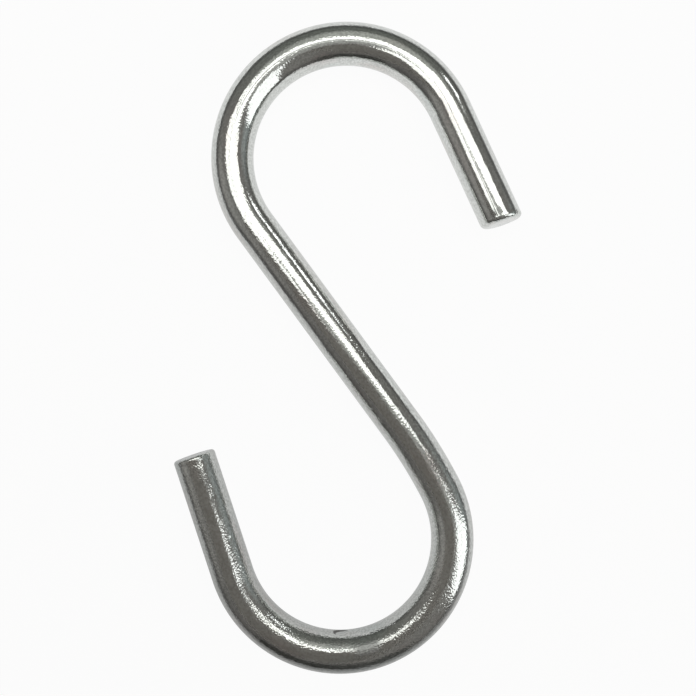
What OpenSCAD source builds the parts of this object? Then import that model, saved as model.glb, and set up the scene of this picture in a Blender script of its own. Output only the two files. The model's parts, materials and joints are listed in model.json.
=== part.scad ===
// Wire S hook: one length of round steel wire, sheared off at both ends, cold bent into
// two open hooks that face opposite ways, and zinc plated.
// It lies on its side on z = 0, with the S in the XY plane. +Y runs along the load line
// through the centres of the two bends, and the upper hook opens towards +X.
// The origin is at the bottom centre of the hook's box.

/* [Wire] */
// Diameter of the wire
wire_d = 5; // [3:0.1:8]
// Growth of the radius of the wire where it is bent round a radius of one wire diameter
bend_swell = 0.05; // [0.02:0.01:0.2]

/* [Upper hook] */
// Inside radius of the upper bend
upper_bend_inside_r = 11.05; // [8:0.05:16]
// Angle that the upper bend turns the wire through
upper_bend_turn = 191.5; // [175:0.5:200]
// Straight length of the free upper arm
upper_arm_length = 14.65; // [8:0.05:22]

/* [Shank] */
// Straight length of the shank
shank_length = 29.25; // [20:0.05:50]
// Radius of the slow bow that leads the shank into the lower bend, on the centre line
bow_r = 57; // [40:0.5:90]
// Angle that the slow bow turns the wire through
bow_turn = 8.8; // [2:0.1:15]

/* [Lower hook] */
// Inside radius of the lower bend
lower_bend_inside_r = 10.85; // [8:0.05:16]
// Angle that the lower bend turns the wire through
lower_bend_turn = 189.3; // [175:0.1:200]
// Straight length of the free lower arm
lower_arm_length = 14.85; // [8:0.05:22]

/* [Sheared ends] */
// Slant of the upper end's face, which leaves the outer side of the wire longer
upper_end_slant = 7; // [0:0.5:12]
// Lean of the upper end's face, which turns it a little upwards
upper_end_lean = 6; // [0:0.5:12]
// Rounding of the upper end's rim
upper_rim_r = 0.6; // [0.2:0.05:1]
// Slant of the lower end's face, which leaves the outer side of the wire longer
lower_end_slant = 0; // [0:0.5:12]
// Lean of the lower end's face, which turns it a little upwards
lower_end_lean = 3; // [0:0.5:12]
// Rounding of the lower end's rim
lower_rim_r = 0.35; // [0.2:0.05:1]

/* [Hidden] */
$fn = 96;

// Colour of the plated wire
zinc = [0.72, 0.73, 0.72];

// Which way a bend turns the wire
LEFT = 1;
RIGHT = -1;

wire_r = wire_d / 2;
upper_bend_r = upper_bend_inside_r + wire_r;
lower_bend_r = lower_bend_inside_r + wire_r;

// Bending swells the wire a little: the tighter the bend, the thicker the wire in it.
function bent_wire_r(r) = wire_r + bend_swell * wire_d / r;
upper_wire_r = bent_wire_r(upper_bend_r);
lower_wire_r = bent_wire_r(lower_bend_r);
// Height of the centre line, with the thickest bend lying on z = 0
lie_height = max(upper_wire_r, lower_wire_r);
// Length by which a straighter stretch of wire runs on inside the thicker bend that it meets,
// short enough for the bend to cover it all round
lap = sqrt(bend_swell * wire_d) / 3;

// The rounding of an end's rim stops this angle short of the wire's side, so that it runs
// out onto the side in a shallow crease all round a slanted end.
rim_flare = 25;
// Steps in which a rim is rounded
rim_steps = 6;
// Spare length past an end that the shear takes away
shear_spare = wire_d;

// A place on the centre line is [x, y, heading], with the heading in degrees from +X.
function ahead(place, length) =
    [place.x + length * cos(place.z), place.y + length * sin(place.z), place.z];
function bend_centre(place, r, side) =
    [place.x - side * r * sin(place.z), place.y + side * r * cos(place.z)];
function bent(place, r, turn, side) =
    let (
        centre = bend_centre(place, r, side),
        heading = place.z + side * turn
    )
    [centre.x + side * r * sin(heading), centre.y - side * r * cos(heading), heading];

// Left or right edge of an end: the corner of the wire on that side of its centre
function end_edge(place, side) = place.x + side * wire_r * abs(sin(place.z));

// The wire's centre line, from where the upper bend begins at a given heading
function upper_end(start) = ahead(start, -upper_arm_length);
function upper_centre(start) = bend_centre(start, upper_bend_r, LEFT);
function shank_start(start) = bent(start, upper_bend_r, upper_bend_turn, LEFT);
function bow_start(start) = ahead(shank_start(start), shank_length);
function lower_start(start) = bent(bow_start(start), bow_r, bow_turn, RIGHT);
function lower_centre(start) = bend_centre(lower_start(start), lower_bend_r, RIGHT);
function lower_end(start) =
    ahead(bent(lower_start(start), lower_bend_r, lower_bend_turn, RIGHT), lower_arm_length);

// The wire is first laid out at heading 0, then turned until the load line runs along +Y.
laid_out = [0, 0, 0];
load_line = upper_centre(laid_out) - lower_centre(laid_out);
turned = [0, 0, 90 - atan2(load_line.y, load_line.x)];

// Edges of the turned hook, from which its middle is found
left_edge = min(end_edge(lower_end(turned), -1), upper_centre(turned).x - upper_bend_r - upper_wire_r);
right_edge = max(end_edge(upper_end(turned), 1), lower_centre(turned).x + lower_bend_r + lower_wire_r);
top_edge = upper_centre(turned).y + upper_bend_r + upper_wire_r;
bottom_edge = lower_centre(turned).y - lower_bend_r - lower_wire_r;

// Where the upper bend begins, with the hook's middle at the origin
start = [
    turned.x - (left_edge + right_edge) / 2,
    turned.y - (top_edge + bottom_edge) / 2,
    turned.z
];

// Straight wire along +X, from a lap behind the origin to a distance ahead of it
module rod(reach) {
    translate([-lap, 0, 0]) rotate([0, 90, 0]) cylinder(r = wire_r, h = lap + reach);
}

// Straight wire along +X, with what follows it carried on its far end
module straight(length) {
    rod(length + lap);
    translate([length, 0, 0]) children();
}

// Wire that starts along +X and turns to one side, with what follows it carried on its far end.
// A slow bend before a tighter one runs on into it by the length given as lap_on.
module bend(r, turn, side, lap_on = 0) {
    lap_turn = lap_on / r * 180 / PI;
    translate([0, side * r, 0]) {
        rotate([0, 0, side == LEFT ? -90 : 90 - turn - lap_turn])
            rotate_extrude(angle = turn + lap_turn) translate([r, 0]) circle(r = bent_wire_r(r));
        rotate([0, 0, side * turn]) translate([0, -side * r, 0]) children();
    }
}

// What a shear leaves of a wire along +X that ends at the origin: a flat face with a rounded
// rim, which opens backwards as a cone wider than the wire
module shear(length, rim_r) {
    rim_centre = [wire_r - rim_r, -rim_r];
    rim = [
        for (step = [0 : rim_steps])
            let (angle = 90 - step * (90 - rim_flare) / rim_steps)
            rim_centre + rim_r * [cos(angle), sin(angle)]
    ];
    rim_out = rim[rim_steps];
    back = -length - shear_spare;
    cone_out = [rim_out.x + (rim_out.y - back) * tan(rim_flare), back];
    rotate([0, 90, 0])
        rotate_extrude() polygon(concat([[0, back], [0, 0]], rim, [cone_out]));
}

// Free arm along +X from the origin to its sheared end. The slant turns the end's face
// about Z, and the lean tips it up.
module arm(length, slant, lean, rim_r) {
    intersection() {
        rod(length + shear_spare);
        translate([length, 0, 0]) rotate([0, -lean, slant]) shear(length, rim_r);
    }
}

module s_hook() {
    color(zinc)
        translate([start.x, start.y, lie_height])
            rotate([0, 0, start.z]) {
                rotate([0, 0, 180])
                    arm(upper_arm_length, -upper_end_slant, upper_end_lean, upper_rim_r);
                bend(upper_bend_r, upper_bend_turn, LEFT)
                    straight(shank_length)
                    bend(bow_r, bow_turn, RIGHT, lap)
                    bend(lower_bend_r, lower_bend_turn, RIGHT)
                    arm(lower_arm_length, -lower_end_slant, lower_end_lean, lower_rim_r);
            }
}

s_hook();
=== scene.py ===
# %% [markdown]
# # A zinc-plated wire S hook
#
# The hook is one length of round steel wire. It was drawn through a die, sheared off at both
# ends, bent cold into two open hooks that face opposite ways, and then zinc plated.
# This lesson makes it in that same order: a straight wire, its two sheared ends, the marks on it,
# the bends, and last the plating. Working on the straight wire keeps each step simple, because
# a place on it needs only a distance along the wire and an angle round it.

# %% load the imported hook
import json
import math

import bmesh
import bpy
from mathutils import Matrix, Quaternion, Vector


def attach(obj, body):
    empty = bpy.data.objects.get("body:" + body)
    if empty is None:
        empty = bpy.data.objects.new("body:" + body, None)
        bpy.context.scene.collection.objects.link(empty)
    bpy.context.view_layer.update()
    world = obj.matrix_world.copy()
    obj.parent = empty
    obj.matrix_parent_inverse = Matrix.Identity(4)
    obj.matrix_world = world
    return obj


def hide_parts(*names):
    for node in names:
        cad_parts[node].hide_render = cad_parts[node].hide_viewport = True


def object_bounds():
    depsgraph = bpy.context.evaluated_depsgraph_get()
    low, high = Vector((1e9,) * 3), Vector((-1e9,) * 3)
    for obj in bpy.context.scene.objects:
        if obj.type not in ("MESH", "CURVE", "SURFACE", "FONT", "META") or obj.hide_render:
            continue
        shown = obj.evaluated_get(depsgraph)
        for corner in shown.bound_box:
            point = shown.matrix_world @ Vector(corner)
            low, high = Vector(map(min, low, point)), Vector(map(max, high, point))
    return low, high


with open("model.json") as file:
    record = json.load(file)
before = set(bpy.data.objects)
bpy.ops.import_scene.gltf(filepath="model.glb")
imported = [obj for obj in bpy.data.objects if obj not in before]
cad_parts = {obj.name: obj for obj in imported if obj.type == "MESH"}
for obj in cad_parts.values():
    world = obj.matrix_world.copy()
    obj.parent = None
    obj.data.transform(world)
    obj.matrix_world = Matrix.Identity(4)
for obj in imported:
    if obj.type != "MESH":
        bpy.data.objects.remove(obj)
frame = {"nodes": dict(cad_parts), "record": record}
cad_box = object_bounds()
mounts = {mount["name"]: mount for mount in frame["record"]["mounts"]}
print("nodes:", sorted(frame["nodes"]), "mounts:", sorted(mounts))

# %% [markdown]
# ## The centre line
#
# The centre line is a chain of six stretches: the upper arm, the upper bend, the shank, a slow bow
# that leads into the lower bend, the lower bend and the lower arm. A curve object could hold it,
# but a chain of straight lines and arcs is how the wire is really bent, and it can be worked out
# exactly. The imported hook's own mounts say where the upper arm lies and how wide the bends are.

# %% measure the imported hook
MM = 0.001
wire_r = mounts["upper_arm"]["dims"]["r_mm"] * MM


def bend_radius(seat, arm):
    """Radius of a bend's centre line: how far the axis of its arm passes from its middle."""
    middle = Vector(mounts[seat]["pos_m"])
    axis = Vector(mounts[arm]["axis"])
    return (Vector(mounts[arm]["pos_m"]) - middle).cross(axis).length


upper_bend_r = bend_radius("upper_seat", "upper_arm")
lower_bend_r = bend_radius("lower_seat", "lower_arm")
print(f"bends: upper {upper_bend_r / MM:.2f} mm, lower {lower_bend_r / MM:.2f} mm")

# %% lay out the centre line
LEFT = 1
RIGHT = -1
UPPER_ARM_LENGTH = 14.65 * MM
UPPER_BEND_TURN = math.radians(191.5)
SHANK_LENGTH = 29.25 * MM
BOW_R = 57 * MM
BOW_TURN = math.radians(8.8)
LOWER_BEND_TURN = math.radians(189.3)
LOWER_ARM_LENGTH = 14.85 * MM

# Each stretch has its length and its curvature, which is positive where the wire turns left.
STRETCHES = [
    (UPPER_ARM_LENGTH, 0),
    (upper_bend_r * UPPER_BEND_TURN, LEFT / upper_bend_r),
    (SHANK_LENGTH, 0),
    (BOW_R * BOW_TURN, RIGHT / BOW_R),
    (lower_bend_r * LOWER_BEND_TURN, RIGHT / lower_bend_r),
    (LOWER_ARM_LENGTH, 0),
]
wire_length = sum(length for length, curvature in STRETCHES)

arm_axis = Vector(mounts["upper_arm"]["axis"])
arm_length = mounts["upper_arm"]["dims"]["length_mm"] * MM
upper_bend_start = Vector(mounts["upper_arm"]["pos_m"]) - arm_axis * arm_length / 2
upper_tip = upper_bend_start + arm_axis * UPPER_ARM_LENGTH
upper_heading = math.atan2(-arm_axis.y, -arm_axis.x)
print(f"wire: {wire_length / MM:.1f} mm long, {2 * wire_r / MM:.1f} mm thick")

# %% follow the centre line


def turned(heading):
    """The direction of a heading, in the plane that the hook lies in."""
    return Vector((math.cos(heading), math.sin(heading), 0))


def place_along(along):
    """Matrix that carries the straight wire's section at this distance to its place in the hook."""
    spot, heading = upper_tip.copy(), upper_heading
    last = len(STRETCHES) - 1
    for number, (length, curvature) in enumerate(STRETCHES):
        step = along if number == last else min(along, length)
        if curvature == 0 or along < 0:
            spot += turned(heading) * step
        else:
            turn = step * curvature
            chord = 2 * math.sin(turn / 2) / curvature
            spot += turned(heading + turn / 2) * chord
            heading += turn
        along -= step
        if along <= 0:
            break
    return Matrix.Translation(spot) @ Matrix.Rotation(heading, 4, "Z")


lower_tip = place_along(wire_length).translation
print("tips:", [[round(value / MM, 2) for value in tip] for tip in (upper_tip, lower_tip)])

# %% [markdown]
# ## The straight wire
#
# Wire is drawn to one round section, so a circle pulled along a line is all it takes. A curve with
# a round bevel would give the same tube, but an extruded mesh can be cut, bevelled and dented
# afterwards. It is pulled out in three lengths, and only the middle one is divided into close
# rings that can follow the bends. The two ends are left long, so that their rims have room.

# %% draw the wire
SIDES = 112
RING_STEP = 0.24 * MM
END_ROOM = 2.0 * MM
SPARE = 3.0 * MM

bm = bmesh.new()
upright = Matrix.Translation((-SPARE, 0, 0)) @ Matrix.Rotation(math.pi / 2, 4, "Y")
bmesh.ops.create_circle(bm, segments=SIDES, radius=wire_r, matrix=upright)
ring = bm.edges[:]
middle_length = wire_length - 2 * END_ROOM
for length in (SPARE + END_ROOM, middle_length, END_ROOM + SPARE):
    drawn = bmesh.ops.extrude_edge_only(bm, edges=ring)["geom"]
    moved = [item for item in drawn if isinstance(item, bmesh.types.BMVert)]
    bmesh.ops.translate(bm, verts=moved, vec=(length, 0, 0))
    front = set(moved)
    drawn_edges = [item for item in drawn if isinstance(item, bmesh.types.BMEdge)]
    ring = [edge for edge in drawn_edges if front.issuperset(edge.verts)]

lengthwise = [edge for edge in bm.edges if edge.calc_length() > middle_length / 2]
rings = round(middle_length / RING_STEP)
bmesh.ops.subdivide_edges(bm, edges=lengthwise, cuts=rings - 1, use_grid_fill=True)
print(f"straight wire: {len(bm.faces)} faces, {rings} rings between its ends")

# %% [markdown]
# ## The sheared ends
#
# A shear leaves a face that is a little slanted and leans a little up, with a rim that the dull
# edge of the blade has rolled over. Bisecting the tube by a tilted plane is just what the blade
# does. The hole is then filled, and its rim is bevelled to the roundness of the real one.

# %% shear both ends
SAME_PLACE = 0.0001 * MM
RIM_STEPS = 6
UPPER_SLANT, UPPER_LEAN, UPPER_RIM_R = math.radians(7), math.radians(3.5), 0.6 * MM
LOWER_SLANT, LOWER_LEAN, LOWER_RIM_R = math.radians(0), math.radians(0.5), 0.35 * MM
UPPER_OVERHANG = 0.11 * MM


def shear(at, outward, slant, lean, rim_r):
    """Cut the wire off at a distance along it, and round the rim of the cut."""
    tilt = Matrix.Rotation(slant, 3, "Z") @ Matrix.Rotation(-lean, 3, "Y")
    normal = tilt @ Vector((1, 0, 0))
    normal.x *= outward
    everything = bm.verts[:] + bm.edges[:] + bm.faces[:]
    bmesh.ops.bisect_plane(
        bm, geom=everything, dist=SAME_PLACE, plane_co=(at, 0, 0), plane_no=normal, clear_outer=True
    )
    reach = 2 * wire_r
    rim = [edge for edge in bm.edges if edge.is_boundary and abs(edge.verts[0].co.x - at) < reach]
    bmesh.ops.edgeloop_fill(bm, edges=rim)
    bmesh.ops.bevel(
        bm, geom=rim, offset=rim_r, offset_type="OFFSET", affect="EDGES",
        segments=RIM_STEPS, profile=0.5, material=-1,
    )
    return len(rim)


upper_rim = shear(-UPPER_OVERHANG, -1, UPPER_SLANT, UPPER_LEAN, UPPER_RIM_R)
lower_rim = shear(wire_length, 1, LOWER_SLANT, LOWER_LEAN, LOWER_RIM_R)
print(f"rims: {upper_rim} and {lower_rim} edges rounded")

# %% [markdown]
# ## The nick and the pits
#
# Something hard has nicked the inside of the lower bend, and the lower arm has a few tiny pits.
# Such a hollow is shallower than a fingernail, so the points near it are simply pressed in towards
# the wire's middle, deepest at its centre. Sculpting would do as well, but a formula gives the
# same hollow on every run.

# %% press the hollows
NICK_AT = 125.2 * MM
NICK_ROUND = math.radians(-80)
NICK_HALF_LENGTH = 1.15 * MM
NICK_HALF_WIDTH = 0.78 * MM
NICK_DEPTH = 0.14 * MM
# Each pit has its distance along the wire in millimetres and its angle round it in degrees.
PITS = [(152.8, -26), (151.8, -28), (146.4, -33)]
PIT_HALF = 0.26 * MM
PIT_DEPTH = 0.05 * MM


def press(at, round_at, half_length, half_width, depth):
    """Press a rounded hollow into the wire, and count the points that it moved."""
    count = 0
    for vert in bm.verts:
        along = (vert.co.x - at) / half_length
        if abs(along) > 1:
            continue
        around = (math.atan2(vert.co.y, vert.co.z) - round_at) * wire_r / half_width
        far = math.hypot(along, around)
        if far < 1:
            side = Vector((0, vert.co.y, vert.co.z)).normalized()
            vert.co -= side * depth * (1 - far * far)
            count += 1
    return count


pressed = press(NICK_AT, NICK_ROUND, NICK_HALF_LENGTH, NICK_HALF_WIDTH, NICK_DEPTH)
for pit_at, pit_round in PITS:
    pressed += press(pit_at * MM, math.radians(pit_round), PIT_HALF, PIT_HALF, PIT_DEPTH)
print(f"hollows: {pressed} points pressed in")

# %% [markdown]
# ## Bending
#
# The bends are made on pegs, and each short length of wire just turns with the bend. A Curve or
# Simple Deform modifier could do that, but carrying every point by the centre line's own matrix
# is exact, and it lets each point keep a note of where it was on the straight wire. The finish
# reads that note later, so that its draw lines and grain follow the wire round the bends.

# %% bend the wire
# Distances along the wire are rounded to a tenth of a micron, so that points can share a place.
DIGITS_KEPT = 7

bmesh.ops.remove_doubles(bm, verts=bm.verts, dist=SAME_PLACE)
bmesh.ops.recalc_face_normals(bm, faces=bm.faces)
straight = bm.verts.layers.float_vector.new("straight_wire")
places = {}
for vert in bm.verts:
    vert[straight] = vert.co
    along = round(vert.co.x, DIGITS_KEPT)
    if along not in places:
        places[along] = place_along(along)
    vert.co = places[along] @ Vector((0, vert.co.y, vert.co.z))
for face in bm.faces:
    face.smooth = True
print(f"bent wire: {len(places)} sections carried to their places")

# %% make it an object
SHARP = math.radians(35)

hook_mesh = bpy.data.meshes.new("s_hook_wire")
bm.to_mesh(hook_mesh)
bm.free()
hook_mesh.set_sharp_from_angle(angle=SHARP)
hook = bpy.data.objects.new("s_hook_wire", hook_mesh)
bpy.context.scene.collection.objects.link(hook)
print(f"hook: {len(hook_mesh.vertices)} points, {len(hook_mesh.polygons)} faces")

# %% [markdown]
# ## Tools for the finishes
#
# Every finish here is a small network of shader nodes. Wiring them by hand takes several lines for
# each sum, so a few helpers add a node, set it and link it in one line. A ramp is the most used
# one: it carries a value smoothly from one range to another.

# %% add and link nodes


def node(tree, kind, label, **settings):
    """Add a node and set its properties."""
    made = tree.nodes.new(kind)
    made.label = label
    for name, value in settings.items():
        setattr(made, name, value)
    return made


def feed(tree, socket, value):
    """Give a socket its value, which is a plain value or another node's output."""
    if isinstance(value, bpy.types.NodeSocket):
        tree.links.new(value, socket)
    else:
        socket.default_value = value


def maths(tree, label, operation, *values):
    """Add a maths node. Each value is a number or another node's output."""
    step = node(tree, "ShaderNodeMath", label, operation=operation)
    for socket, value in zip(step.inputs, values):
        feed(tree, socket, value)
    return step.outputs[0]


def away(tree, label, value, middle):
    """How far a value is from a middle."""
    return maths(tree, label, "ABSOLUTE", maths(tree, label, "SUBTRACT", value, middle))


def ramp(tree, label, value, start, end, low, high):
    """Carry a value smoothly from one range to another."""
    step = node(tree, "ShaderNodeMapRange", label, interpolation_type="SMOOTHSTEP")
    tree.links.new(value, step.inputs["Value"])
    for name, number in (("From Min", start), ("From Max", end), ("To Min", low), ("To Max", high)):
        step.inputs[name].default_value = number
    return step.outputs["Result"]


def blend(tree, label, factor, first, second):
    """Mix two colours, of which the first may be another node's output."""
    mix = node(tree, "ShaderNodeMix", label, data_type="RGBA")
    tree.links.new(factor, mix.inputs["Factor"])
    feed(tree, mix.inputs["A"], first)
    mix.inputs["B"].default_value = second
    return mix.outputs["Result"]


print("node helpers:", [helper.__name__ for helper in (node, feed, maths, away, ramp, blend)])

# %% [markdown]
# ## Patterns on the straight wire
#
# Bright zinc plate is a mirror that isn't quite flat. The steel under it has long draw lines and
# one deeper line that the die scratched. The zinc over it grows in fine grains, coarser towards
# the lower hook, and the clear passivate tints it faintly. A picture could be wrapped round the
# wire, but every one of these is a simple pattern on the straight wire, with a size in millimetres
# along it and round it. They read the note that each point kept, so they follow the bends.

# %% set out the patterns
# Each pattern has its size along the wire and round it, its detail and its seed.
PATTERNS = {
    "draw lines": (14 * MM, 0.13 * MM, 2, 1),
    "grain": (0.21 * MM, 0.17 * MM, 0.3, 2),
    "peel": (2.4 * MM, 0.9 * MM, 2, 3),
    "mottle": (0.30 * MM, 0.24 * MM, 1, 4),
    "warm tint": (9 * MM, 2.2 * MM, 3, 5),
    "tear": (0.5 * MM, 0.45 * MM, 2, 6),
    "patches": (5 * MM, 1.6 * MM, 3, 7),
    "cool tint": (7 * MM, 1.8 * MM, 3, 9),
}


def straight_wire(tree):
    """A point's place on the straight wire, which it kept when it was bent."""
    note = node(tree, "ShaderNodeAttribute", "straight wire", attribute_name="straight_wire")
    return note.outputs["Vector"]


def wire_noise(tree, label):
    """The noise of one of the patterns."""
    size_along, size_round, detail, seed = PATTERNS[label]
    fit = node(tree, "ShaderNodeMapping", label)
    fit.inputs["Location"].default_value = (seed, seed, seed)
    fit.inputs["Scale"].default_value = (1 / size_along, 1 / size_round, 1 / size_round)
    noise = node(tree, "ShaderNodeTexNoise", label)
    noise.inputs["Scale"].default_value = 1
    noise.inputs["Detail"].default_value = detail
    tree.links.new(straight_wire(tree), fit.inputs["Vector"])
    tree.links.new(fit.outputs["Vector"], noise.inputs["Vector"])
    return noise.outputs["Fac"]


print("patterns:", sorted(PATTERNS))

# %% [markdown]
# ## Wear and the nick
#
# The bending peg has rubbed the bottom of the lower bend dull. In the nick, the zinc is gone along
# one side, and a thin crescent of bare steel shows, painted far darker than steel as painted shade
# in that side of the hollow. An oval less a second oval that is moved a little aside leaves just
# such a crescent.

# %% find the worn places
PEG_WEAR_AT = 121.8 * MM
PEG_WEAR_ROUND = math.radians(-18)
# The wear fades out from the first distance or angle to the second, in metres and radians.
PEG_WEAR_REACH = (0.92 * MM, 2.3 * MM)
PEG_WEAR_ANGLES = (0.15, 0.5)
# The nick's edge fades out between these squares of the distance, which is 1 on its outline.
NICK_EDGE = (0.7, 1.1)
CRESCENT_ALONG = 0.38 * MM
CRESCENT_ROUND = math.radians(8)


def peg_wear(tree, along, angle):
    """The dull spot that the bending peg left: 1 in its middle and 0 outside."""
    from_peg = away(tree, "along from the peg", along, PEG_WEAR_AT)
    round_from_peg = away(tree, "round from the peg", angle, PEG_WEAR_ROUND)
    lengthways = ramp(tree, "peg wear", from_peg, *PEG_WEAR_REACH, 1, 0)
    sideways = ramp(tree, "peg wear", round_from_peg, *PEG_WEAR_ANGLES, 1, 0)
    return maths(tree, "peg wear", "MULTIPLY", lengthways, sideways)


def nick_oval(tree, label, along, angle, at, round_at):
    """An oval of the nick's size on the wire: 1 inside it and 0 outside."""
    lengthways = maths(tree, label, "SUBTRACT", along, at)
    lengthways = maths(tree, label, "DIVIDE", lengthways, NICK_HALF_LENGTH)
    sideways = maths(tree, label, "SUBTRACT", angle, round_at)
    sideways = maths(tree, label, "MULTIPLY", sideways, wire_r / NICK_HALF_WIDTH)
    far = maths(tree, label, "MULTIPLY", lengthways, lengthways)
    far = maths(tree, label, "MULTIPLY_ADD", sideways, sideways, far)
    return ramp(tree, label, far, *NICK_EDGE, 1, 0)


def shaded_nick_crescent(tree, along, angle):
    """The bare steel in the nick, painted dark as the shade in one side of the hollow."""
    hollow = nick_oval(tree, "nick", along, angle, NICK_AT, NICK_ROUND)
    plated_at, plated_round = NICK_AT - CRESCENT_ALONG, NICK_ROUND + CRESCENT_ROUND
    plated = nick_oval(tree, "plated side", along, angle, plated_at, plated_round)
    bare = maths(tree, "bare side", "SUBTRACT", 1.0, plated)
    return maths(tree, "crescent", "MULTIPLY", hollow, bare)


print(f"peg wear at {PEG_WEAR_AT / MM:.1f} mm, nick at {NICK_AT / MM:.1f} mm along the wire")

# %% [markdown]
# ## Colour and shine
#
# The passivate's tint comes in long patches, warm here and cool there, over a fine mottle of
# greyer grains. The zinc shines a little less in some patches, towards the lower hook, and most of
# all where the peg has rubbed it.

# %% tint the zinc
ZINC = (0.730, 0.748, 0.726, 1)
ZINC_WARM = (0.660, 0.622, 0.603, 1)
ZINC_COOL = (0.615, 0.655, 0.640, 1)
ZINC_GREY = (0.520, 0.531, 0.514, 1)
WORN = (0.42, 0.43, 0.42, 1)
# Bare steel in the nick, painted far darker than steel: it is painted shade in the hollow.
BARE_STEEL_AND_SHADE = (0.15, 0.145, 0.14, 1)
# Each tint has the range of its pattern in which it comes in, its shares there and its colour.
TINTS = {
    "warm tint": (0.50, 0.72, 0, 0.8, ZINC_WARM),
    "cool tint": (0.52, 0.75, 0, 0.8, ZINC_COOL),
    "mottle": (0.32, 0.70, 0, 0.75, ZINC_GREY),
}
# A ramp's four numbers are where it starts and ends, and what it gives there.
PATCHY_SHINE = (0.3, 0.7, 0.05, 0.10)
LOWER_DULLNESS = (70 * MM, 125 * MM, 0, 0.03)
WORN_DULLNESS = 0.22


def plate_colour(tree, along, angle, worn):
    """The tinted zinc, its worn spot and the bare steel in the nick, painted dark as shade."""
    colour = ZINC
    for label, (*limits, tint) in TINTS.items():
        share = ramp(tree, label, wire_noise(tree, label), *limits)
        colour = blend(tree, label, share, colour, tint)
    colour = blend(tree, "worn", worn, colour, WORN)
    # The nick's crescent is bare steel painted dark as shade.
    return blend(tree, "nick", shaded_nick_crescent(tree, along, angle), colour, BARE_STEEL_AND_SHADE)


def plate_roughness(tree, along, patches, worn):
    """How dull the zinc is."""
    dull = ramp(tree, "roughness", patches, *PATCHY_SHINE)
    dull = maths(tree, "roughness", "MULTIPLY_ADD", worn, WORN_DULLNESS, dull)
    return maths(tree, "roughness", "ADD", dull, ramp(tree, "lower hook", along, *LOWER_DULLNESS))


print("tints:", list(TINTS), "over zinc", ZINC[:3])

# %% [markdown]
# ## The surface
#
# The grain, the draw lines, the die line and the torn rims are too fine to model as faces, so they
# are heights for a Bump node. All heights are in microns. The upper arm is nearly clean, and the
# grain comes up in two steps along the wire.

# %% raise the grain and the lines
MICRON = 0.001 * MM
GRAIN_CLEAN, GRAIN_FINE, GRAIN_COARSE = 2.5, 9.0, 21.0
GRAIN_COMES_UP = (12 * MM, 34 * MM)
GRAIN_COARSENS = (70 * MM, 104 * MM)
GRAIN_PATCHES = (0.3, 0.7, 0.6, 1.4)
WORN_GRAIN = 10.0
DRAW_LINE_HEIGHT = 5.0
PEEL_HEIGHT = 22.0
DIE_LINE_DEPTH = 12.0
DIE_LINE_START = math.radians(15.5)
DIE_LINE_TWIST = math.radians(0.278) / MM
DIE_LINE_WIDTH = math.radians(1.6)
DIE_LINE_RUNS_OUT = (58 * MM, 66 * MM)
TEAR_FULL = 0.2 * MM
TEAR_REACH = 1.0 * MM
TEAR_HEIGHT = 85.0


def grain(tree, along, patches, worn):
    """Height of the zinc's grain, coarser down the wire and where it is worn."""
    coarse = ramp(tree, "fine grain", along, *GRAIN_COMES_UP, GRAIN_CLEAN, GRAIN_FINE)
    coarser = ramp(tree, "coarse grain", along, *GRAIN_COARSENS, 0, GRAIN_COARSE - GRAIN_FINE)
    coarse = maths(tree, "coarse grain", "ADD", coarse, coarser)
    coarse = maths(tree, "worn grain", "MULTIPLY_ADD", worn, WORN_GRAIN, coarse)
    patchy = ramp(tree, "patchy grain", patches, *GRAIN_PATCHES)
    coarse = maths(tree, "patchy grain", "MULTIPLY", coarse, patchy)
    return maths(tree, "grain", "MULTIPLY", wire_noise(tree, "grain"), coarse)


def die_line(tree, along, angle):
    """Height of the line that the die scratched, which winds slowly round the wire."""
    line_at = maths(tree, "die line", "MULTIPLY_ADD", along, -DIE_LINE_TWIST, DIE_LINE_START)
    from_line = away(tree, "die line", angle, line_at)
    line = ramp(tree, "die line", from_line, 0, DIE_LINE_WIDTH, -DIE_LINE_DEPTH, 0)
    runs_out = ramp(tree, "die line", along, *DIE_LINE_RUNS_OUT, 1, 0)
    return maths(tree, "die line", "MULTIPLY", line, runs_out)


def torn_rims(tree, along):
    """Where the blade has torn the metal, at both rims."""
    upper = ramp(tree, "upper tear", along, TEAR_FULL, TEAR_REACH, 1, 0)
    lower_start, lower_full = wire_length - TEAR_REACH, wire_length - TEAR_FULL
    lower = ramp(tree, "lower tear", along, lower_start, lower_full, 0, 1)
    rims = maths(tree, "tear", "MAXIMUM", upper, lower)
    return maths(tree, "tear", "MULTIPLY", wire_noise(tree, "tear"), rims)


print(f"grain: {GRAIN_CLEAN} to {GRAIN_COARSE} microns, die line: {DIE_LINE_DEPTH} microns deep")

# %% [markdown]
# ## The zinc plate
#
# The material joins these together in one Principled shader, which is all metal.

# %% mix the finish


def plate_normal(tree, along, angle, patches, worn):
    """The surface's direction, with all the heights added up."""
    height = grain(tree, along, patches, worn)
    height = maths(tree, "height", "MULTIPLY_ADD", torn_rims(tree, along), TEAR_HEIGHT, height)
    draw_lines = wire_noise(tree, "draw lines")
    height = maths(tree, "height", "MULTIPLY_ADD", draw_lines, DRAW_LINE_HEIGHT, height)
    height = maths(tree, "height", "MULTIPLY_ADD", wire_noise(tree, "peel"), PEEL_HEIGHT, height)
    height = maths(tree, "height", "ADD", die_line(tree, along, angle), height)
    bump = node(tree, "ShaderNodeBump", "surface")
    bump.inputs["Strength"].default_value = 1
    bump.inputs["Distance"].default_value = MICRON
    tree.links.new(height, bump.inputs["Height"])
    return bump.outputs["Normal"]


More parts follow.
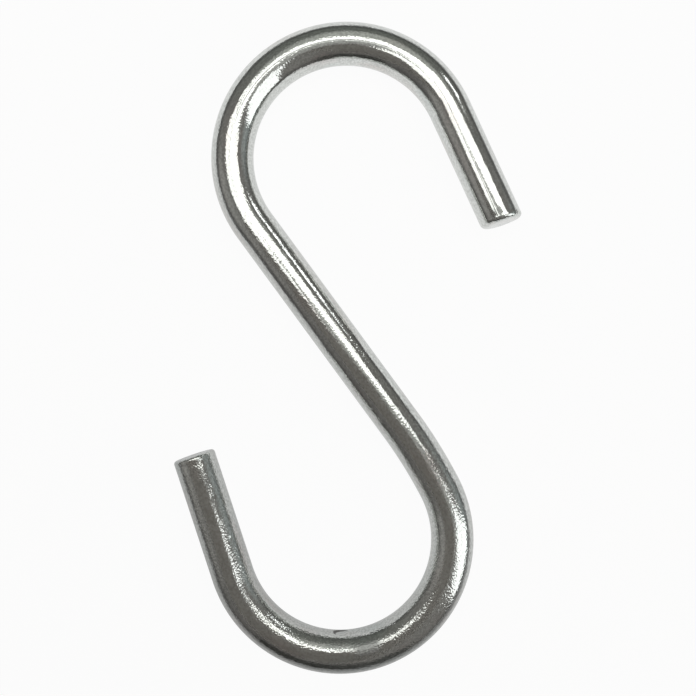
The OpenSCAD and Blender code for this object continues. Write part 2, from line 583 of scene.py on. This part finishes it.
def zinc_plate():
    """Bright zinc plate over drawn steel wire."""
    material = bpy.data.materials.new("zinc_plate")
    material.use_nodes = True
    tree = material.node_tree
    plate = tree.nodes["Principled BSDF"]
    plate.inputs["Metallic"].default_value = 1
    parts = node(tree, "ShaderNodeSeparateXYZ", "straight wire")
    tree.links.new(straight_wire(tree), parts.inputs[0])
    along = parts.outputs["X"]
    angle = maths(tree, "angle round", "ARCTAN2", parts.outputs["Y"], parts.outputs["Z"])
    worn = peg_wear(tree, along, angle)
    patches = wire_noise(tree, "patches")
    tree.links.new(plate_colour(tree, along, angle, worn), plate.inputs["Base Color"])
    tree.links.new(plate_roughness(tree, along, patches, worn), plate.inputs["Roughness"])
    tree.links.new(plate_normal(tree, along, angle, patches, worn), plate.inputs["Normal"])
    return material


hook_mesh.materials.append(zinc_plate())
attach(hook, "root")
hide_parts("s_hook")
print("finish:", hook_mesh.materials[0].name)

# %% [markdown]
# ## The floor
#
# The hook lies on a plain white sheet. The sheet is lit as paper is, and it also shines by itself
# where it is seen straight or in the metal, so that it looks white and keeps a faint shadow. In the
# metal its glow is a painted pool of light: painted brighter towards the lamps and inside an oval,
# and painted darker, as shade, away from the lamps and outside the oval.

# %% light the paper
PAPER = (0.86, 0.86, 0.86, 1)
SEEN_WHITE = 0.95
MIRRORED_SHARE = 0.92
# The pool is painted light: these numbers place and shade the paper's glow in the metal, not the
# lamps.
POOL_MIDDLE = Vector((-14 * MM, 15 * MM, 0))
POOL_REACH = Vector((62 * MM, 63 * MM, 1))
POOL_EDGE = (0.88, 1.16)
POOL_TOWARDS = Vector((0.58, 0.81, 0))
POOL_SLOPE = (-52 * MM, 26 * MM)
POOL_BRIGHT, POOL_DIM, POOL_OUTSIDE = 0.92, 0.44, 0.25


def painted_pool_of_light(tree):
    """Painted light: the paper in the metal, lighter towards the lamps and dim past an oval pool."""
    place = node(tree, "ShaderNodeTexCoord", "place").outputs["Object"]
    pool = node(tree, "ShaderNodeMapping", "pool", vector_type="TEXTURE")
    pool.inputs["Location"].default_value = POOL_MIDDLE
    pool.inputs["Scale"].default_value = POOL_REACH
    reach = node(tree, "ShaderNodeVectorMath", "reach", operation="LENGTH")
    slope = node(tree, "ShaderNodeVectorMath", "slope", operation="DOT_PRODUCT")
    slope.inputs[1].default_value = POOL_TOWARDS
    tree.links.new(place, pool.inputs["Vector"])
    tree.links.new(pool.outputs["Vector"], reach.inputs[0])
    tree.links.new(place, slope.inputs[0])
    inside = ramp(tree, "inside", reach.outputs["Value"], *POOL_EDGE, 1, 0)
    bright = ramp(tree, "bright", slope.outputs["Value"], *POOL_SLOPE, POOL_DIM, POOL_BRIGHT)
    extra = maths(tree, "extra", "SUBTRACT", bright, POOL_OUTSIDE)
    return maths(tree, "pool", "MULTIPLY_ADD", inside, extra, POOL_OUTSIDE)


def paper():
    """White paper that is seen as white and still takes a shadow."""
    material = bpy.data.materials.new("paper")
    material.use_nodes = True
    tree = material.node_tree
    tree.nodes.clear()
    lit = node(tree, "ShaderNodeBsdfDiffuse", "lit paper")
    lit.inputs["Color"].default_value = PAPER
    white = node(tree, "ShaderNodeEmission", "white")
    ray = node(tree, "ShaderNodeLightPath", "rays").outputs
    camera_ray = ray["Is Camera Ray"]
    mirrored = maths(tree, "mirrored", "MAXIMUM", ray["Is Glossy Ray"], ray["Is Transmission Ray"])
    # The paper's glow in the metal is the painted pool of light, not light from the lamps.
    strength = maths(tree, "strength", "MAXIMUM", camera_ray, painted_pool_of_light(tree))
    seen = maths(tree, "seen", "MULTIPLY", camera_ray, SEEN_WHITE)
    share = maths(tree, "share of white", "MULTIPLY_ADD", mirrored, MIRRORED_SHARE, seen)
    mix = node(tree, "ShaderNodeMixShader", "paper")
    out = node(tree, "ShaderNodeOutputMaterial", "out")
    tree.links.new(strength, white.inputs["Strength"])
    tree.links.new(share, mix.inputs["Fac"])
    tree.links.new(lit.outputs[0], mix.inputs[1])
    tree.links.new(white.outputs[0], mix.inputs[2])
    tree.links.new(mix.outputs[0], out.inputs["Surface"])
    return material


print("paper: seen white by", SEEN_WHITE, "and mirrored by", MIRRORED_SHARE)

# %% lay the floor
FLOOR_R = 1.5
FLOOR_SIDES = 64

bm = bmesh.new()
bmesh.ops.create_circle(bm, cap_ends=True, segments=FLOOR_SIDES, radius=FLOOR_R)
floor_mesh = bpy.data.meshes.new("floor")
bm.to_mesh(floor_mesh)
bm.free()
floor_mesh.materials.append(paper())
floor = bpy.data.objects.new("floor", floor_mesh)
bpy.context.scene.collection.objects.link(floor)
print("floor:", FLOOR_R, "m in radius")

# %% [markdown]
# ## Studio light
#
# Polished metal shows its surroundings, so the lamps are placed for their reflections: two panels
# of a wide softbox overhead, a tall strip to the right and a small lamp behind it, in a dim room.
# An area lamp's power is worked out from its size, so that each one is set by how bright it looks.

# %% hang the overhead panels
WARM_WHITE = (1.0, 1.0, 0.97)
PANEL_HEIGHT = 1.2
# A panel's edges are given as for one that hangs a metre up, and its turn in degrees.
PANELS = {
    "main_panel": {
        "left": -0.17, "right": 0.64, "front": 0.126, "back": 0.456, "radiance": 1.6, "turn": 5,
    },
    "left_panel": {
        "left": -0.59, "right": -0.17, "front": -0.45, "back": 0.47, "radiance": 1.45, "turn": 8,
    },
}


def softbox(name, centre, aim, wide, tall, radiance, colour, turn=0.0):
    """A rectangular area lamp that faces a point and shines evenly at the given radiance."""
    data = bpy.data.lights.new(name, "AREA")
    data.shape = "RECTANGLE"
    data.size = wide
    data.size_y = tall
    data.energy = radiance * math.pi * wide * tall
    data.color = colour
    lamp = bpy.data.objects.new(name, data)
    facing_aim = (Vector(aim) - Vector(centre)).to_track_quat("-Z", "Y")
    lamp.rotation_mode = "QUATERNION"
    lamp.rotation_quaternion = facing_aim @ Quaternion((0, 0, 1), turn)
    lamp.location = centre
    bpy.context.scene.collection.objects.link(lamp)
    return lamp


def overhead(name, left, right, front, back, radiance, turn):
    """A level panel overhead."""
    middle = Vector(((left + right) / 2, (front + back) / 2, 0)) * PANEL_HEIGHT
    above = middle + Vector((0, 0, PANEL_HEIGHT))
    wide = (right - left) * PANEL_HEIGHT
    deep = (back - front) * PANEL_HEIGHT
    return softbox(name, above, middle, wide, deep, radiance, WARM_WHITE, math.radians(turn))


for name, panel in PANELS.items():
    overhead(name, **panel)
print("panels:", list(PANELS), PANEL_HEIGHT, "m up")

# %% stand the strip and the small lamp
COOL_WHITE = (0.98, 1.0, 1.0)
STRIP_AZIMUTH = math.radians(-19.5)
STRIP_SPREAD = math.radians(35)
STRIP_DISTANCE = 0.6
STRIP_LOW, STRIP_HIGH = 0.125, 1.5
STRIP_RADIANCE = 1.4
SMALL_AZIMUTH = math.radians(45)
SMALL_ZENITH = math.radians(60)
SMALL_WIDE, SMALL_TALL = 0.16, 0.17
SMALL_RADIANCE = 2.2

strip_foot = turned(STRIP_AZIMUTH) * STRIP_DISTANCE
strip_middle = Vector((0, 0, (STRIP_LOW + STRIP_HIGH) / 2))
strip_wide = 2 * STRIP_DISTANCE * math.tan(STRIP_SPREAD / 2)
strip_tall = STRIP_HIGH - STRIP_LOW
strip_at = strip_foot + strip_middle
softbox("strip", strip_at, strip_middle, strip_wide, strip_tall, STRIP_RADIANCE, COOL_WHITE)

small_at = turned(SMALL_AZIMUTH) * math.sin(SMALL_ZENITH) + Vector((0, 0, math.cos(SMALL_ZENITH)))
softbox("small_lamp", small_at, (0, 0, 0), SMALL_WIDE, SMALL_TALL, SMALL_RADIANCE, COOL_WHITE)

# %% [markdown]
# ## The room
#
# Between the lamps the metal shows the room: dimmer and warmer in front, lighter behind, with a
# glow round the overhead panels and on the wall beside the strip. Each of these is one soft patch
# of the world, mixed in by how far a direction looks towards it. The camera itself sees a white
# backdrop there, so that a low view has no dark strip past the edge of the floor.

# %% dim the room
BACKDROP = (0.97, 0.97, 0.97, 1)
ROOM = (0.212, 0.204, 0.194, 1)
# Each patch has the direction it lies in, the cosines at which it starts and is full, its share
# of the colour there, and its colour.
PATCHES = [
    ("back of the room", (0, 1, 0.25), 0.45, 0.95, 1.0, (0.158, 0.166, 0.152, 1)),
    ("front of the room", (-0.45, -1, 0.3), 0.55, 0.97, 1.0, (0.150, 0.143, 0.137, 1)),
    ("left wall", (-0.98, -0.15, 0.5), 0.90, 0.99, 1.0, (0.310, 0.300, 0.286, 1)),
    ("ceiling", (0.05, 0.54, 0.84), 0.90, 0.985, 1.0, (0.46, 0.47, 0.44, 1)),
    ("soft edge of the panels", (0.05, 0.05, 1.0), 0.915, 0.999, 1.0, (0.46, 0.46, 0.44, 1)),
    ("right wall", (0.97, 0.02, 0.25), 0.84, 1.0, 1.0, (0.33, 0.355, 0.35, 1)),
    ("low down", (0, 0, -1), -0.40, -0.06, 0.6, (0.06, 0.06, 0.06, 1)),
]


def facing(tree, way, label, towards):
    """The cosine between a direction and the one that it may look towards."""
    dot = node(tree, "ShaderNodeVectorMath", label, operation="DOT_PRODUCT")
    tree.links.new(way, dot.inputs[0])
    dot.inputs[1].default_value = Vector(towards).normalized()
    return dot.outputs["Value"]


world = bpy.data.worlds.new("room")
bpy.context.scene.world = world
world.use_nodes = True
tree = world.node_tree
way = node(tree, "ShaderNodeTexCoord", "direction").outputs["Generated"]
room = ROOM
for label, towards, start, full, share, colour in PATCHES:
    patch = ramp(tree, label, facing(tree, way, label, towards), start, full, 0, share)
    room = blend(tree, label, patch, room, colour)
ray = node(tree, "ShaderNodeLightPath", "rays").outputs
backdrop = blend(tree, "backdrop", ray["Is Camera Ray"], room, BACKDROP)
tree.links.new(backdrop, tree.nodes["Background"].inputs["Color"])
print("room:", len(PATCHES), "soft patches")

# %% [markdown]
# ## The camera
#
# The camera looks straight down from close by, about a hand's breadth above the hook. A camera so
# close sees the inner sides of the wire all round. Its foot is the pixel that it looks straight
# down at, and the shift of the lens moves that pixel away from the middle of the picture.

# %% place the camera
IMAGE_SIDE = 696
PIXELS_PER_METRE = 8430
ORIGIN_PIXEL = (347.3, 347.8)
FOOT_PIXEL = (338.0, 352.0)
CAMERA_HEIGHT = 112.7 * MM
CAMERA_ROLL = math.radians(1.04)
CLIP_START = 1 * MM

hook_height = (cad_box[0].z + cad_box[1].z) / 2
foot_x = (FOOT_PIXEL[0] - ORIGIN_PIXEL[0]) / PIXELS_PER_METRE
foot_y = (ORIGIN_PIXEL[1] - FOOT_PIXEL[1]) / PIXELS_PER_METRE
foot = Matrix.Rotation(CAMERA_ROLL, 3, "Z") @ Vector((foot_x, foot_y, 0))
view_side = IMAGE_SIDE / PIXELS_PER_METRE
camera_data = bpy.data.cameras.new("camera")
camera_data.lens = camera_data.sensor_width * CAMERA_HEIGHT / view_side
camera_data.shift_x = (IMAGE_SIDE / 2 - FOOT_PIXEL[0]) / IMAGE_SIDE
camera_data.shift_y = (FOOT_PIXEL[1] - IMAGE_SIDE / 2) / IMAGE_SIDE
camera_data.clip_start = CLIP_START
camera = bpy.data.objects.new("camera", camera_data)
camera.location = foot + Vector((0, 0, hook_height + CAMERA_HEIGHT))
camera.rotation_euler = (0, 0, CAMERA_ROLL)
bpy.context.scene.collection.objects.link(camera)
bpy.context.scene.camera = camera
bpy.context.scene.view_settings.view_transform = "Standard"
print(f"camera: lens {camera_data.lens:.1f} mm, {CAMERA_HEIGHT / MM:.0f} mm above the hook")

# %% [markdown]
# ## Dark cards
#
# Metal that is seen from so close by also shows the dark case of the camera beside the lens, and
# the dark end of the room in front of the table. Two dark cards stand in for these, as they would
# in a studio. The one by the lens fades out at its edges, because the metal shows it blurred.
# Both are hidden from the camera's own rays, so that they never stand in the way of another view.

# %% paint the cards
CARD_ROUGHNESS = 0.6
LENS_GREY = (0.46, 0.43, 0.41, 1)
FRONT_GREY = (0.19, 0.19, 0.186, 1)


def fade_out(tree, corner, fade):
    """How solid a card is, which fades out towards the right and back edges by its corner."""
    place = node(tree, "ShaderNodeTexCoord", "place")
    inward = node(tree, "ShaderNodeVectorMath", "inward", operation="SUBTRACT")
    inward.inputs[0].default_value = corner
    parts = node(tree, "ShaderNodeSeparateXYZ", "inward")
    tree.links.new(place.outputs["Object"], inward.inputs[1])
    tree.links.new(inward.outputs["Vector"], parts.inputs[0])
    nearest = maths(tree, "nearest edge", "MINIMUM", parts.outputs["X"], parts.outputs["Y"])
    return ramp(tree, "fade", nearest, 0, fade, 0, 1)


def card_paint(name, colour, corner, fade):
    """Dull grey paint, with a fade where one is given."""
    material = bpy.data.materials.new(name)
    material.use_nodes = True
    tree = material.node_tree
    paint = tree.nodes["Principled BSDF"]
    paint.inputs["Base Color"].default_value = colour
    paint.inputs["Roughness"].default_value = CARD_ROUGHNESS
    if fade:
        tree.links.new(fade_out(tree, corner, fade), paint.inputs["Alpha"])
    return material


print("paints: lens", LENS_GREY[:3], "front", FRONT_GREY[:3])

# %% hang the dark cards
CARD_THICK = 4 * MM
LENS_CARD = (Vector((-95, -150, 0)) * MM, Vector((30, -1, 0)) * MM)
LENS_CARD_FADE = 13 * MM
FRONT_CARD = (Vector((-80, -150, 2)) * MM, Vector((70, -150, 75)) * MM)


def dark_card(name, low, high, colour, fade=0.0):
    """A thin card between two corners, that may fade out towards its right and back edges."""
    sides = [max(side, CARD_THICK) for side in high - low]
    shape = Matrix.Translation((low + high) / 2) @ Matrix.Diagonal((*sides, 1))
    card = bmesh.new()
    bmesh.ops.create_cube(card, size=1, matrix=shape)
    mesh = bpy.data.meshes.new(name)
    card.to_mesh(mesh)
    card.free()
    mesh.materials.append(card_paint(name, colour, high, fade))
    thing = bpy.data.objects.new(name, mesh)
    bpy.context.scene.collection.objects.link(thing)
    thing.visible_camera = False
    return thing


lens_low, lens_high = (camera.location + corner for corner in LENS_CARD)
cards = [
    dark_card("lens_card", lens_low, lens_high, LENS_GREY, LENS_CARD_FADE),
    dark_card("front_card", *FRONT_CARD, FRONT_GREY),
]
print("dark cards:", [card.name for card in cards])
